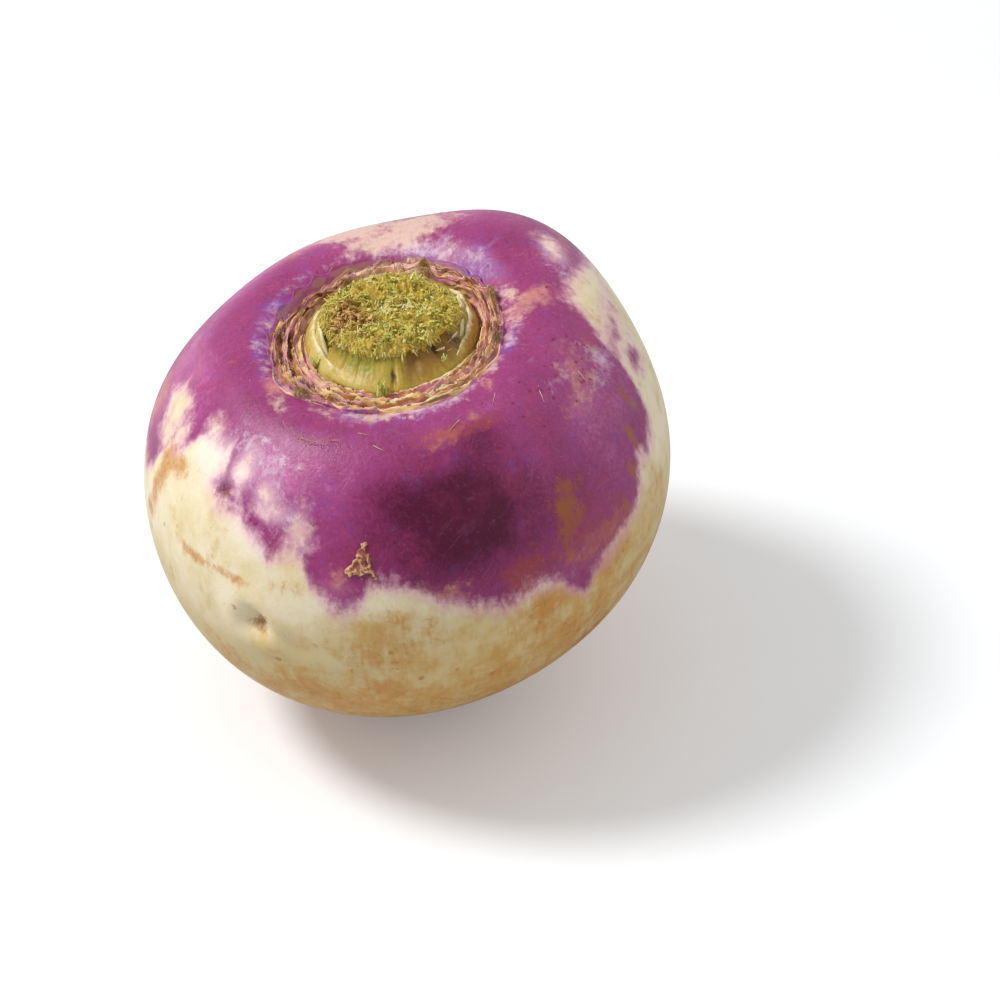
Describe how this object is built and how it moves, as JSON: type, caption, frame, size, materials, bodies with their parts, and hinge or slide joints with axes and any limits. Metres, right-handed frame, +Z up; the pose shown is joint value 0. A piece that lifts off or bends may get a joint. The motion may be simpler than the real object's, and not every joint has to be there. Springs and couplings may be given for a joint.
{
  "type": "turnip",
  "caption": "Round turnip root with a shallow scarred crown basin, the frayed cut stub of its leaf stalks, a small side dimple and a flat trimmed underside.",
  "frame": {"origin": "middle of the footprint, on the surface that the root rests on", "axes": "+Z up through the crown, -Y towards the side with the dimple and the camera, +X to the right of it"},
  "size_m": [0.0896, 0.0918, 0.0807],
  "materials": {
    "root_skin": "thin waxy skin with a soft sheen, purple round the crown and cream with tan stains below",
    "stalk_stub": "dull frayed yellow-green plant fibre over smooth pale sheaths"
  },
  "bodies": {
    "root": {"bulb": "root_skin", "crown_stub": "stalk_stub"}
  },
  "joints": []
}
